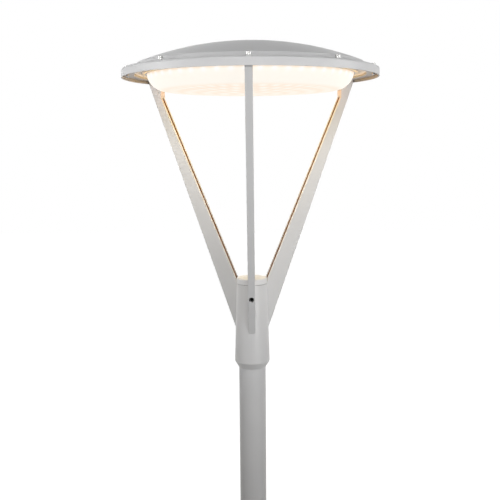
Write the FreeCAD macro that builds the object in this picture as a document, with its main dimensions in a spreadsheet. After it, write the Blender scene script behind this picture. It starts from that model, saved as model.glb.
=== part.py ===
import FreeCAD
import Part
import Sketcher
import math
import os
from types import SimpleNamespace

# Driving dimensions in millimetres. Heights of the head are measured from the foot of the hub.
dimensions = {
    # post
    "post_radius": 30.0,
    "post_wall": 3.0,
    "post_exposed": 340.0,
    "post_seat": 95.0,
    "tenon_step": 1.0,
    "slip_gap": 0.05,
    "seat_gap": 0.1,
    # hub
    "hub_height": 189.7,
    "hub_foot_step": 0.6,
    "hub_flare": 8.6,
    "hub_chamfer_height": 14.2,
    "chamber_step": 5.05,
    "set_screw_radius": 4.0,
    "set_screw_socket": 4.0,
    "set_screw_socket_depth": 4.0,
    "set_screw_sink": 1.0,
    "set_screw_height": 30.0,
    "set_screw_pitch": 34.0,
    # hub cap
    "cap_inset": 0.4,
    "cap_side_height": 10.4,
    "cap_edge_radius": 3.0,
    "cap_crown": 4.0,
    "cap_gasket_thickness": 1.0,
    "cap_gasket_sink": 0.5,
    "cap_gasket_width": 6.4,
    "cap_spigot_step": 1.9,
    "cap_spigot_depth": 9.0,
    "cap_spigot_gap": 0.1,
    "cap_spigot_wall": 6.0,
    "cap_top_wall": 5.0,
    "o_ring_section": 1.2,
    "o_ring_gap": 0.05,
    # arms
    "arm_count": 3,
    "arm_thickness": 15.0,
    "arm_root_depth": 106.3,
    "arm_root_proud": 0.12,
    "arm_corner_radius": 4.0,
    "arm_edge_radius": 1.0,
    "arm_foot_height": 32.9,
    "arm_foot_margin": 5.0,
    "slot_wall": 1.95,
    "slot_depth": 3.0,
    "slot_gap": 0.05,
    "groove_width": 6.0,
    "groove_depth": 8.0,
    "groove_run_out": 20.0,
    "cover_recess": 0.8,
    "cover_thickness": 2.5,
    "cover_gap": 0.05,
    "cover_end_gap": 3.0,
    "cable_hole_radius": 2.5,
    "root_screw_drop": 24.1,
    "root_screw_grip": 15.0,
    "root_screw_length": 21.0,
    "counterbore_gap": 0.5,
    "hub_grommet_drop": 16.5,
    "hub_grommet_radius": 3.5,
    "cable_screw_drop": 21.4,
    "cable_screw_radius": 2.5,
    "cable_screw_socket": 2.5,
    "cable_screw_socket_depth": 2.0,
    "cable_screw_sink": 0.4,
    "head_screw_radius": 2.5,
    "head_screw_head_radius": 4.7,
    "head_screw_length": 40.0,
    "head_screw_socket": 3.0,
    "head_screw_socket_depth": 1.8,
    "thread_gap": 0.05,
    "tip_gap": 1.0,
    "head_chamfer": 0.5,
    # canopy
    "rim_radius": 275.5,
    "rim_height": 638.4,
    "rim_depth": 18.0,
    "rim_edge_radius": 5.0,
    "canopy_wall": 2.5,
    "dome_radius": 661.0,
    "skirt_clearance": 1.5,
    "skirt_spread": 5.5,
    "skirt_height": 11.1,
    "shoulder_radius": 4.0,
    "bolt_count": 9,
    "bolt_inset": 13.0,
    "bolt_radius": 3.0,
    "bolt_head_radius": 5.0,
    "bolt_head_height": 6.0,
    "bolt_socket": 5.0,
    "bolt_socket_depth": 3.0,
    "bolt_length": 18.0,
    "bolt_gap": 0.1,
    "flange_hole_gap": 0.3,
    "relief_gap": 0.6,
    "washer_radius": 5.5,
    "washer_thickness": 1.6,
    # frame ring
    "lip_gap": 3.0,
    "lip_drop": 6.0,
    "ring_land": 22.0,
    "ring_web": 5.5,
    "ring_chamfer": 2.5,
    "collar_wall": 2.0,
    "ledge_thickness": 2.5,
    "seal_width": 3.2,
    "seal_depth": 3.5,
    "seal_margin": 0.7,
    "seal_gap": 0.1,
    "tenon_gap": 0.2,
    "grommet_flange_radius": 4.0,
    "grommet_flange_height": 1.2,
    "grommet_wall": 1.2,
    "grommet_clearance": 1.0,
    "vent_radius": 4.0,
    "vent_flange_radius": 5.5,
    "vent_flange_height": 2.5,
    # lens
    "lens_wall": 4.0,
    "lens_flange": 6.5,
    "lens_flange_thickness": 4.0,
    "lens_edge_radius": 37.4,
    "lens_crown": 8.0,
    "lens_gap": 0.5,
    "lens_seal_thickness": 2.0,
    "lens_ledge_gap": 0.6,
    "clamp_thickness": 2.5,
    "clamp_overlap": 8.0,
    "clamp_count": 6,
    "small_screw_radius": 2.0,
    "small_screw_head_radius": 3.5,
    "small_screw_head_height": 2.6,
    "small_screw_socket": 2.5,
    "small_screw_socket_depth": 1.4,
    "small_screw_land": 0.8,
    "small_screw_bite": 4.0,
    # gear tray and light engine
    "tray_thickness": 3.0,
    "tray_edge_margin": 0.2,
    "tray_wire_hole_radius": 8.0,
    "tray_wire_hole_place": 100.0,
    "board_thickness": 1.6,
    "board_gap": 3.0,
    "board_hole_radius": 12.0,
    "board_screw_count": 6,
    "board_screw_radius": 1.5,
    "board_screw_head_radius": 2.75,
    "board_screw_head_height": 2.0,
    "board_screw_socket": 2.0,
    "board_screw_socket_depth": 1.1,
    "board_screw_grip": 2.6,
    "led_size": 5.0,
    "led_height": 1.2,
    "led_inset": 6.0,
    "led_row_pitch": 40.0,
    "led_rows": 5,
    "led_row_step": 10,
    # control gear on the tray
    "driver_length": 150.0,
    "driver_width": 62.0,
    "driver_height": 32.0,
    "gear_edge_radius": 2.0,
    "foot_length": 12.0,
    "foot_width": 20.0,
    "foot_height": 4.0,
    "surge_length": 60.0,
    "surge_width": 36.0,
    "surge_height": 26.0,
    "terminal_length": 48.0,
    "terminal_width": 24.0,
    "terminal_height": 18.0,
    "terminal_poles": 3,
    "terminal_pitch": 14.0,
    "terminal_port_radius": 3.0,
    "terminal_port_depth": 9.0,
    "terminal_well_radius": 3.4,
    "terminal_well_depth": 6.0,
    "terminal_clamp_radius": 3.0,
    "terminal_clamp_height": 3.0,
    "terminal_slot": 1.2,
    "gear_spacing": 36.0,
    "earth_place": 105.0,
    "earth_radius": 2.5,
    "earth_height": 16.0,
    "earth_base_radius": 5.0,
    "earth_base_height": 4.0,
    "earth_nut_flats": 8.0,
    "earth_nut_height": 4.0,
}

doc = FreeCAD.newDocument("post_top_luminaire")
sheet = doc.addObject("Spreadsheet::Sheet", "dims")
for row, (alias, value) in enumerate(dimensions.items(), start=1):
    sheet.set("A%d" % row, alias)
    sheet.set("B%d" % row, str(value))
    sheet.setAlias("B%d" % row, alias)
doc.recompute()


class Size:
    # A number together with the sheet expression that it comes from
    def __init__(self, number, text):
        self.number = float(number)
        self.text = text

    def __add__(self, other):
        other = as_size(other)
        return Size(self.number + other.number, "(%s + %s)" % (self.text, other.text))

    def __radd__(self, other):
        return as_size(other) + self

    def __sub__(self, other):
        other = as_size(other)
        return Size(self.number - other.number, "(%s - %s)" % (self.text, other.text))

    def __rsub__(self, other):
        return as_size(other) - self

    def __mul__(self, other):
        other = as_size(other)
        return Size(self.number * other.number, "(%s * %s)" % (self.text, other.text))

    def __rmul__(self, other):
        return as_size(other) * self

    def __truediv__(self, other):
        other = as_size(other)
        return Size(self.number / other.number, "(%s / %s)" % (self.text, other.text))

    def __neg__(self):
        return as_size(0) - self


def as_size(value):
    return value if isinstance(value, Size) else Size(value, repr(float(value)))


def root(value):
    return Size(math.sqrt(value.number), "sqrt(%s)" % value.text)


s = SimpleNamespace(**{alias: Size(value, "dims." + alias) for alias, value in dimensions.items()})
pieces = []

# The drawings below put the front of the luminaire at +X; this turn brings it to -Y.
front_turn = -90.0


def bind(item, prop, value):
    item.setExpression(prop, as_size(value).text)


def piece(node, turn=0.0):
    body = doc.addObject("PartDesign::Body", node)
    body.Label = node
    body.AllowCompound = True
    body.Placement.Rotation = FreeCAD.Rotation(FreeCAD.Vector(0, 0, 1), front_turn + turn)
    pieces.append(body)
    return body


def origin_item(body, role):
    return next(item for item in body.Origin.OriginFeatures if item.Role == role)


def new_sketch(body, name, plane, at):
    # The place is given as x, y, z of the body and turned into the plane's own directions
    x, y, z = at
    local = {"XY": (x, y, z), "XZ": (x, z, -as_size(y)), "YZ": (y, z, x)}[plane]
    sketch = body.newObject("Sketcher::SketchObject", body.Label + "_" + name)
    sketch.AttachmentSupport = [(origin_item(body, plane + "_Plane"), "")]
    sketch.MapMode = "FlatFace"
    for axis, value in zip("xyz", local):
        bind(sketch, "AttachmentOffset.Base." + axis, value)
    return sketch


def hold(sketch, kind, *ends_and_value):
    *ends, value = ends_and_value
    index = sketch.addConstraint(Sketcher.Constraint(kind, *ends, value.number))
    bind(sketch, "Constraints[%d]" % index, value)


def place_point(sketch, geo, end, x, y):
    if as_size(x).number == 0:
        sketch.addConstraint(Sketcher.Constraint("PointOnObject", geo, end, -2))
    else:
        hold(sketch, "DistanceX", -1, 1, geo, end, as_size(x))
    if as_size(y).number == 0:
        sketch.addConstraint(Sketcher.Constraint("PointOnObject", geo, end, -1))
    else:
        hold(sketch, "DistanceY", -1, 1, geo, end, as_size(y))


def arc_between(first, second, radius, side):
    # The centre lies left of the way from first to second where side is 1, right where it is -1
    half = (second - first) / 2
    left = FreeCAD.Vector(-half.y, half.x, 0).normalize()
    centre = (first + second) / 2 + left * side * math.sqrt(radius ** 2 - half.Length ** 2)
    circle = Part.Circle(centre, FreeCAD.Vector(0, 0, 1), radius)
    angles = [math.atan2(point.y - centre.y, point.x - centre.x) for point in (first, second)]
    return Part.ArcOfCircle(circle, *angles[::side])


def draw_outline(sketch, points):
    # A point is (x, y), or (x, y, radius, side) where an arc leads on to the next point
    corners = [FreeCAD.Vector(as_size(p[0]).number, as_size(p[1]).number, 0) for p in points]
    ends = []
    for index, point in enumerate(points):
        first = corners[index]
        second = corners[(index + 1) % len(points)]
        if len(point) == 2:
            geo = sketch.addGeometry(Part.LineSegment(first, second))
            ends.append(((geo, 1), (geo, 2)))
        else:
            radius, side = point[2:]
            geo = sketch.addGeometry(arc_between(first, second, radius.number, side))
            hold(sketch, "Radius", geo, radius)
            ends.append(((geo, 1), (geo, 2))[::side])
    for index, point in enumerate(points):
        sketch.addConstraint(Sketcher.Constraint("Coincident", *ends[index - 1][1], *ends[index][0]))
        place_point(sketch, *ends[index][0], point[0], point[1])


def draw_circles(sketch, circles):
    for x, y, radius in circles:
        middle = FreeCAD.Vector(as_size(x).number, as_size(y).number, 0)
        geo = sketch.addGeometry(Part.Circle(middle, FreeCAD.Vector(0, 0, 1), radius.number))
        place_point(sketch, geo, 3, x, y)
        hold(sketch, "Radius", geo, radius)


def revolved(body, name, points, at=(0, 0, 0), plane="XZ", axis="V_Axis", kind="Revolution"):
    sketch = new_sketch(body, name + "_outline", plane, at)
    draw_outline(sketch, points)
    feature = body.newObject("PartDesign::" + kind, body.Label + "_" + name)
    feature.Profile = sketch
    feature.ReferenceAxis = (sketch, [axis])
    feature.Angle = 360
    return feature


def extruded(body, name, plane, at, length, points=None, circles=None, kind="Pad", way="One side",
             flip=False):
    sketch = new_sketch(body, name + "_outline", plane, at)
    if points:
        draw_outline(sketch, points)
    if circles:
        draw_circles(sketch, circles)
    feature = body.newObject("PartDesign::" + kind, body.Label + "_" + name)
    feature.Profile = sketch
    feature.SideType = way
    feature.Reversed = flip
    bind(feature, "Length", length)
    return feature


def polar(body, name, features, count):
    feature = body.newObject("PartDesign::PolarPattern", body.Label + "_" + name)
    feature.Originals = features
    feature.Axis = (origin_item(body, "Z_Axis"), [""])
    feature.Angle = 360
    bind(feature, "Occurrences", count)
    body.Tip = feature
    return feature


def row_of(body, name, features, axis, length, count):
    feature = body.newObject("PartDesign::LinearPattern", body.Label + "_" + name)
    feature.Originals = features
    feature.Direction = (origin_item(body, axis + "_Axis"), [""])
    bind(feature, "Length", length)
    bind(feature, "Occurrences", count)
    body.Tip = feature
    return feature


def rounded(body, name, radius, wanted):
    doc.recompute()
    base = body.Tip
    edges = ["Edge%d" % (index + 1) for index, edge in enumerate(base.Shape.Edges) if wanted(edge)]
    feature = body.newObject("PartDesign::Fillet", body.Label + "_" + name)
    feature.Base = (base, edges)
    bind(feature, "Radius", radius)
    return feature


def rectangle(width, height, low=0):
    return [(-width / 2, low), (width / 2, low), (width / 2, low + height), (-width / 2, low + height)]


def hexagon(flats):
    corner = flats / math.sqrt(3)
    half = flats / 2
    return [(half, -corner / 2), (half, corner / 2), (0, corner),
            (-half, corner / 2), (-half, -corner / 2), (0, -corner)]


def ring(node, inner, outer, low, high):
    body = piece(node)
    revolved(body, "section", [(inner, low), (outer, low), (outer, high), (inner, high)])
    return body


def upright_screw(body, at, radius, length, head_radius, head_height, socket, socket_depth, head_down=False):
    # Flat-seated head at the given place, the thread leading away from it
    way = -1 if head_down else 1
    x, y, seat = at
    turned = revolved(body, "turned", [
        (0, -length * way), (radius, -length * way), (radius, 0), (head_radius, 0),
        (head_radius, (head_height - s.head_chamfer) * way),
        (head_radius - s.head_chamfer, head_height * way), (0, head_height * way)], at)
    top = seat + head_height * way
    key = extruded(body, "socket", "XY", (x, y, top), socket_depth, hexagon(socket), kind="Pocket",
                   flip=head_down)
    return [turned, key]


def sunk_screw(body, at, radius, length, head_radius, socket, socket_depth):
    # Countersunk head, flush with the given place
    turned = revolved(body, "turned", [
        (0, -length), (radius, -length), (radius, radius - head_radius), (head_radius, 0), (0, 0)], at)
    key = extruded(body, "socket", "XY", at, socket_depth, hexagon(socket), kind="Pocket")
    return [turned, key]


# Heights
hub_foot = s.post_exposed
hub_top = hub_foot + s.hub_height
post_top = hub_foot + s.post_seat
rim_bottom = hub_foot + s.rim_height
rim_top = rim_bottom + s.rim_depth
ring_top = rim_top - s.canopy_wall
ring_bottom = rim_bottom + s.lip_drop
web_bottom = ring_top - s.ring_web
flange_bottom = ring_top - s.lens_flange_thickness
ledge_top = flange_bottom - s.lens_seal_thickness
collar_bottom = ledge_top - s.ledge_thickness
clamp_top = ring_top + s.clamp_thickness
tray_top = clamp_top + s.tray_thickness
board_bottom = clamp_top - s.board_thickness
arm_root_z = hub_top - s.arm_root_depth
turn_z = rim_bottom - s.arm_foot_height
root_screw_z = hub_top - s.root_screw_drop
grommet_z = hub_top - s.hub_grommet_drop
cable_screw_z = rim_bottom - s.cable_screw_drop
bolt_seat = rim_top + s.washer_thickness

# Radii of the post and hub, from the post outwards
tenon_radius = s.post_radius - s.tenon_step
bore_radius = tenon_radius + s.slip_gap
hub_foot_radius = s.post_radius + s.hub_foot_step
hub_skirt_radius = hub_foot_radius + s.hub_flare
chamber_radius = bore_radius - s.chamber_step
slot_floor = bore_radius + s.slot_wall
slot_face = slot_floor + s.slot_gap
hub_top_radius = slot_floor + s.slot_depth
cone_fall = (hub_skirt_radius - hub_top_radius) / (s.hub_height - s.hub_chamfer_height)
cap_radius = hub_top_radius - s.cap_inset
spigot_radius = chamber_radius + s.cap_spigot_step

# Radii of the head, from the rim inwards
ring_radius = s.rim_radius - s.canopy_wall - s.lip_gap
step_radius = ring_radius - s.ring_land
bolt_circle = s.rim_radius - s.bolt_inset
seal_outer = bolt_circle - s.bolt_radius - s.seal_margin
seal_inner = seal_outer - s.seal_width
head_screw_circle = seal_inner - s.head_screw_head_radius - s.seal_margin
cable_circle = head_screw_circle - s.head_screw_head_radius - s.grommet_flange_radius - s.grommet_clearance
skirt_inner = cable_circle + s.grommet_flange_radius + s.skirt_clearance
skirt_radius = skirt_inner + s.canopy_wall
dome_edge_radius = skirt_radius - s.skirt_spread
arm_foot_radius = cable_circle - s.arm_foot_margin
clamp_radius = cable_circle - s.grommet_flange_radius - s.grommet_clearance
clamp_circle = clamp_radius - s.small_screw_head_radius - s.tray_edge_margin
recess_radius = clamp_circle - s.small_screw_radius - s.small_screw_land
collar_radius = recess_radius + s.collar_wall
flange_radius = recess_radius - s.lens_gap
lens_radius = flange_radius - s.lens_flange
ledge_radius = lens_radius + s.lens_ledge_gap
clamp_hole = lens_radius - s.clamp_overlap
board_radius = clamp_hole - s.board_gap
led_outer_circle = board_radius - s.led_inset
board_screw_circle = led_outer_circle - s.led_row_pitch / 2

# Inner edge of an arm: from the hub's top rim up to the turn under the ring
edge_run = arm_foot_radius - hub_top_radius
edge_rise = turn_z - hub_top
edge_length = root(edge_run * edge_run + edge_rise * edge_rise)


def beside_edge(radius, height, along, depth):
    # A point moved along an arm's inner edge and square to it, into the arm
    return (radius + (edge_run * along + edge_rise * depth) / edge_length,
            height + (edge_rise * along - edge_run * depth) / edge_length)


# Post: the tube that the head stands on, turned down to a tenon inside the hub
post = piece("post")
post_inner = s.post_radius - s.post_wall
revolved(post, "tube", [
    (post_inner, 0), (s.post_radius, 0), (s.post_radius, hub_foot), (tenon_radius, hub_foot),
    (tenon_radius, post_top), (post_inner, post_top)])

# Hub casting: bore for the post, wiring space above it, slots for the arms
hub = piece("hub_body")
spigot_floor = hub_top - s.cap_spigot_depth - s.cap_spigot_gap
cap_bore = spigot_radius + s.cap_spigot_gap
revolved(hub, "cone", [
    (bore_radius, hub_foot), (hub_foot_radius, hub_foot),
    (hub_skirt_radius, hub_foot + s.hub_chamfer_height), (hub_top_radius, hub_top),
    (cap_bore, hub_top), (cap_bore, spigot_floor), (chamber_radius, spigot_floor),
    (chamber_radius, post_top + s.seat_gap), (bore_radius, post_top + s.seat_gap)])
slot_half = s.arm_thickness / 2 + s.slot_gap
slot_bottom = arm_root_z - s.slot_gap
slot = extruded(hub, "slot", "YZ", (slot_floor, 0, 0), hub_skirt_radius, [
    (-slot_half + s.arm_corner_radius, slot_bottom),
    (slot_half - s.arm_corner_radius, slot_bottom, s.arm_corner_radius, 1),
    (slot_half, slot_bottom + s.arm_corner_radius),
    (slot_half, hub_top + s.arm_corner_radius),
    (-slot_half, hub_top + s.arm_corner_radius),
    (-slot_half, slot_bottom + s.arm_corner_radius, s.arm_corner_radius, 1)], kind="Pocket", flip=True)
polar(hub, "slots", [slot], s.arm_count)
wall_holes = extruded(hub, "wall_hole", "YZ", (slot_floor, 0, 0), slot_floor, kind="Pocket", circles=[
    (0, root_screw_z, s.bolt_radius + s.thread_gap), (0, grommet_z, s.hub_grommet_radius + s.thread_gap)])
polar(hub, "wall_holes", [wall_holes], s.arm_count)
low_set_z = hub_foot + s.set_screw_height
high_set_z = low_set_z + s.set_screw_pitch
set_hole = s.set_screw_radius + s.thread_gap
extruded(hub, "set_holes", "YZ", (-chamber_radius, 0, 0), hub_skirt_radius, kind="Pocket",
         circles=[(0, low_set_z, set_hole), (0, high_set_z, set_hole)])

# Set screws at the back of the hub, their tips just off the post
set_screws = piece("hub_set_screws")
for name, height in (("low", s.set_screw_height), ("high", s.set_screw_height + s.set_screw_pitch)):
    outer = hub_skirt_radius - (height - s.hub_chamfer_height) * cone_fall - s.set_screw_sink
    extruded(set_screws, name, "YZ", (-bore_radius, 0, 0), outer - bore_radius, flip=True,
             circles=[(0, hub_foot + height, s.set_screw_radius)])
    extruded(set_screws, name + "_socket", "YZ", (-outer, 0, hub_foot + height), s.set_screw_socket_depth,
             hexagon(s.set_screw_socket), kind="Pocket", flip=True)

# Rubber bushes where the cables leave the hub
hub_grommets = piece("hub_grommets")
bush_bore = s.hub_grommet_radius - s.grommet_wall
bush = revolved(hub_grommets, "bush", [
    (chamber_radius, bush_bore), (slot_floor, bush_bore), (slot_floor, s.hub_grommet_radius),
    (chamber_radius, s.hub_grommet_radius)], (0, 0, grommet_z), axis="H_Axis")
polar(hub_grommets, "bushes", [bush], s.arm_count)

# Cap, with its gasket and O-ring
cap = piece("hub_cap")
cap_foot = hub_top + s.cap_gasket_thickness
cap_shoulder = cap_foot + s.cap_side_height
cap_rim = cap_shoulder + s.cap_edge_radius
cap_top_radius = cap_radius - s.cap_edge_radius
crown_radius = (cap_top_radius * cap_top_radius + s.cap_crown * s.cap_crown) / (2 * s.cap_crown)
spigot_foot = hub_top - s.cap_spigot_depth
o_ring_z = hub_top - s.cap_spigot_depth / 2
o_ring_radius = spigot_radius - s.o_ring_section - s.o_ring_gap
groove_floor = o_ring_radius - s.o_ring_section - s.o_ring_gap
groove_half = s.o_ring_section + s.o_ring_gap
spigot_hollow = spigot_radius - s.cap_spigot_wall
revolved(cap, "turned", [
    (0, cap_rim - s.cap_top_wall), (spigot_hollow, cap_rim - s.cap_top_wall), (spigot_hollow, spigot_foot),
    (spigot_radius, spigot_foot), (spigot_radius, o_ring_z - groove_half),
    (groove_floor, o_ring_z - groove_half), (groove_floor, o_ring_z + groove_half),
    (spigot_radius, o_ring_z + groove_half), (spigot_radius, cap_foot), (cap_radius, cap_foot),
    (cap_radius, cap_shoulder, s.cap_edge_radius, 1), (cap_top_radius, cap_rim, crown_radius, 1),
    (0, cap_rim + s.cap_crown)])
gasket_outer = cap_radius - s.cap_gasket_sink
ring("hub_cap_gasket", gasket_outer - s.cap_gasket_width, gasket_outer, hub_top, cap_foot)
o_ring = doc.addObject("Part::Torus", "hub_cap_o_ring")
o_ring.Label = "hub_cap_o_ring"
bind(o_ring, "Radius1", o_ring_radius)
bind(o_ring, "Radius2", s.o_ring_section)
bind(o_ring, "Placement.Base.z", o_ring_z)
pieces.append(o_ring)


def make_arm(node, turn):
    arm = piece(node, turn)
    root_radius = hub_top_radius + s.arm_root_depth * cone_fall + s.arm_root_proud
    slot_drop = (hub_top_radius - slot_face) * edge_rise / edge_run
    extruded(arm, "plate", "XZ", (0, 0, 0), s.arm_thickness, way="Symmetric", points=[
        (slot_face, arm_root_z), (root_radius, arm_root_z), (ring_radius, rim_bottom),
        (ring_radius, ring_bottom), (step_radius - s.tenon_gap, ring_bottom),
        (step_radius - s.tenon_gap, web_bottom), (arm_foot_radius, web_bottom), (arm_foot_radius, turn_z),
        (hub_top_radius, hub_top), (slot_face, hub_top - slot_drop)])
    half = s.arm_thickness.number / 2

    def on_side(vertex):
        return abs(abs(vertex.Y) - half) < 1e-4

    def along_slope(edge):
        low, high = sorted(vertex.Z for vertex in edge.Vertexes)
        return all(map(on_side, edge.Vertexes)) and high - low > edge_rise.number / 2

    def at_root_corner(edge):
        level = all(abs(vertex.Z - arm_root_z.number) < 1e-4 for vertex in edge.Vertexes)
        straight = abs(edge.Vertexes[0].Y - edge.Vertexes[-1].Y) < 1e-4
        return level and straight and all(map(on_side, edge.Vertexes))

    rounded(arm, "root_corners", s.arm_corner_radius, at_root_corner)
    rounded(arm, "soft_edges", s.arm_edge_radius, along_slope)
    overshoot = s.groove_width
    extruded(arm, "wire_groove", "XZ", (0, 0, 0), s.groove_width, way="Symmetric", kind="Pocket", points=[
        beside_edge(arm_foot_radius, turn_z, 0, -overshoot),
        beside_edge(arm_foot_radius, turn_z, 0, s.groove_depth),
        beside_edge(hub_top_radius, hub_top, -s.groove_run_out, s.groove_depth),
        beside_edge(hub_top_radius, hub_top, -s.groove_run_out, -overshoot)])
    extruded(arm, "cable_hole", "XY", (0, 0, web_bottom), web_bottom - turn_z + s.groove_depth / 2,
             circles=[(cable_circle, 0, s.cable_hole_radius)], kind="Pocket")
    extruded(arm, "head_screw_hole", "XY", (0, 0, web_bottom), s.head_screw_length - s.ring_web + s.tip_gap,
             circles=[(head_screw_circle, 0, s.head_screw_radius + s.thread_gap)], kind="Pocket")
    relief_depth = ring_bottom - bolt_seat + s.bolt_length + s.tip_gap
    extruded(arm, "bolt_relief", "XY", (0, 0, ring_bottom), relief_depth,
             circles=[(bolt_circle, 0, s.bolt_radius + s.relief_gap)], kind="Pocket")
    extruded(arm, "cable_screw_hole", "XZ", (0, 0, 0), s.arm_thickness, kind="Pocket",
             circles=[(cable_circle, cable_screw_z, s.cable_screw_radius + s.thread_gap)])
    seat = slot_face + s.root_screw_grip
    extruded(arm, "root_hole", "YZ", (slot_floor, 0, 0), s.rim_radius, kind="Pocket", flip=True,
             circles=[(0, root_screw_z, s.bolt_radius + s.bolt_gap)])
    extruded(arm, "root_counterbore", "YZ", (seat, 0, 0), s.rim_radius, kind="Pocket", flip=True,
             circles=[(0, root_screw_z, s.bolt_head_radius + s.counterbore_gap)])


for number, node in enumerate(("arm_front", "arm_right", "arm_left")):
    make_arm(node, number * 360.0 / dimensions["arm_count"])

# Cover strips pressed into the arms' grooves
covers = piece("arm_wire_covers")
cover_floor = s.cover_recess + s.cover_thickness
cover_width = s.groove_width - 2 * s.cover_gap
strip = extruded(covers, "strip", "XZ", (0, 0, 0), cover_width, way="Symmetric", points=[
    beside_edge(arm_foot_radius, turn_z, -s.cover_end_gap, s.cover_recess),
    beside_edge(arm_foot_radius, turn_z, -s.cover_end_gap, cover_floor),
    beside_edge(hub_top_radius, hub_top, s.cover_end_gap, cover_floor),
    beside_edge(hub_top_radius, hub_top, s.cover_end_gap, s.cover_recess)])
polar(covers, "strips", [strip], s.arm_count)

# Screws that hold the arms to the hub, deep in their counterbores
root_screws = piece("arm_root_screws")
root_seat = slot_face + s.root_screw_grip
root_shaft = revolved(root_screws, "turned", [
    (-s.root_screw_length, 0), (s.bolt_head_height, 0),
    (s.bolt_head_height, s.bolt_head_radius - s.head_chamfer),
    (s.bolt_head_height - s.head_chamfer, s.bolt_head_radius),
    (0, s.bolt_head_radius), (0, s.bolt_radius), (-s.root_screw_length, s.bolt_radius)],
    (root_seat, 0, root_screw_z), axis="H_Axis")
root_key = extruded(root_screws, "socket", "YZ", (root_seat + s.bolt_head_height, 0, root_screw_z),
                    s.bolt_socket_depth, hexagon(s.bolt_socket), kind="Pocket")
polar(root_screws, "screws", [root_shaft, root_key], s.arm_count)

# Small set screws in the arms' sides that pinch the cables
cable_screws = piece("arm_cable_screws")
pinch_length = s.arm_thickness / 2 - s.cable_hole_radius - s.cable_screw_sink
pinch_outer = s.arm_thickness / 2 - s.cable_screw_sink
pinch = extruded(cable_screws, "pinch", "XZ", (cable_circle, pinch_outer, cable_screw_z), pinch_length,
                 circles=[(0, 0, s.cable_screw_radius)])
pinch_key = extruded(cable_screws, "socket", "XZ", (cable_circle, pinch_outer, cable_screw_z),
                     s.cable_screw_socket_depth, hexagon(s.cable_screw_socket), kind="Pocket", flip=True)
polar(cable_screws, "screws", [pinch, pinch_key], s.arm_count)

# Frame ring: stepped casting that sits on the arms and carries the lens
frame = piece("frame_ring")
revolved(frame, "section", [
    (ledge_radius, collar_bottom), (collar_radius, collar_bottom), (collar_radius, web_bottom),
    (step_radius, web_bottom), (step_radius, ring_bottom), (ring_radius, ring_bottom),
    (ring_radius, ring_top - s.ring_chamfer), (ring_radius - s.ring_chamfer, ring_top),
    (seal_outer, ring_top), (seal_outer, ring_top - s.seal_depth), (seal_inner, ring_top - s.seal_depth),
    (seal_inner, ring_top), (recess_radius, ring_top), (recess_radius, ledge_top), (ledge_radius, ledge_top)])
bolt_hole = extruded(frame, "bolt_hole", "XY", (bolt_circle, 0, ring_top), s.rim_depth,
                     circles=[(0, 0, s.bolt_radius + s.bolt_gap)], kind="Pocket")
polar(frame, "bolt_holes", [bolt_hole], s.bolt_count)
head_hole = extruded(frame, "head_hole", "XY", (0, 0, ring_top), s.rim_depth, kind="Pocket", circles=[
    (head_screw_circle, 0, s.head_screw_radius + s.bolt_gap),
    (cable_circle, 0, s.hub_grommet_radius + s.thread_gap)])
polar(frame, "head_holes", [head_hole], s.arm_count)
sink_depth = s.head_screw_head_radius - s.head_screw_radius
head_sink = revolved(frame, "head_sink", [
    (0, -sink_depth), (s.head_screw_radius + s.bolt_gap, -sink_depth),
    (s.head_screw_head_radius + s.bolt_gap, 0), (0, 0)], (head_screw_circle, 0, ring_top), kind="Groove")
polar(frame, "head_sinks", [head_sink], s.arm_count)
clamp_depth = s.small_screw_bite + s.bolt_gap
clamp_thread = extruded(frame, "clamp_thread", "XY", (clamp_circle, 0, ring_top), clamp_depth,
                        circles=[(0, 0, s.small_screw_radius + s.thread_gap)], kind="Pocket")
polar(frame, "clamp_threads", [clamp_thread], 2 * s.clamp_count)
vent_circle = (collar_radius + step_radius) / 2
extruded(frame, "vent_hole", "XY", (-vent_circle, 0, ring_top), s.rim_depth,
         circles=[(0, 0, s.vent_radius + s.thread_gap)], kind="Pocket")

# Screws from the ring down into the arms' heads
head_screws = piece("arm_head_screws")
polar(head_screws, "screws", sunk_screw(
    head_screws, (head_screw_circle, 0, ring_top), s.head_screw_radius, s.head_screw_length,
    s.head_screw_head_radius, s.head_screw_socket, s.head_screw_socket_depth), s.arm_count)

# Rubber grommets where the cables enter the gear space
grommets = piece("arm_grommets")
grommet_bore = s.hub_grommet_radius - s.grommet_wall
grommet = revolved(grommets, "grommet", [
    (grommet_bore, web_bottom), (s.hub_grommet_radius, web_bottom), (s.hub_grommet_radius, ring_top),
    (s.grommet_flange_radius, ring_top), (s.grommet_flange_radius, ring_top + s.grommet_flange_height),
    (grommet_bore, ring_top + s.grommet_flange_height)], (cable_circle, 0, 0))
polar(grommets, "set", [grommet], s.arm_count)

# Snap-in vent in the channel behind the lens collar
vent = piece("breather_vent")
vent_foot = web_bottom - s.vent_flange_height
revolved(vent, "plug", [
    (0, vent_foot), (s.vent_flange_radius, vent_foot), (s.vent_flange_radius, web_bottom),
    (s.vent_radius, web_bottom), (s.vent_radius, ring_top), (0, ring_top)], (-vent_circle, 0, 0))

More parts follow.
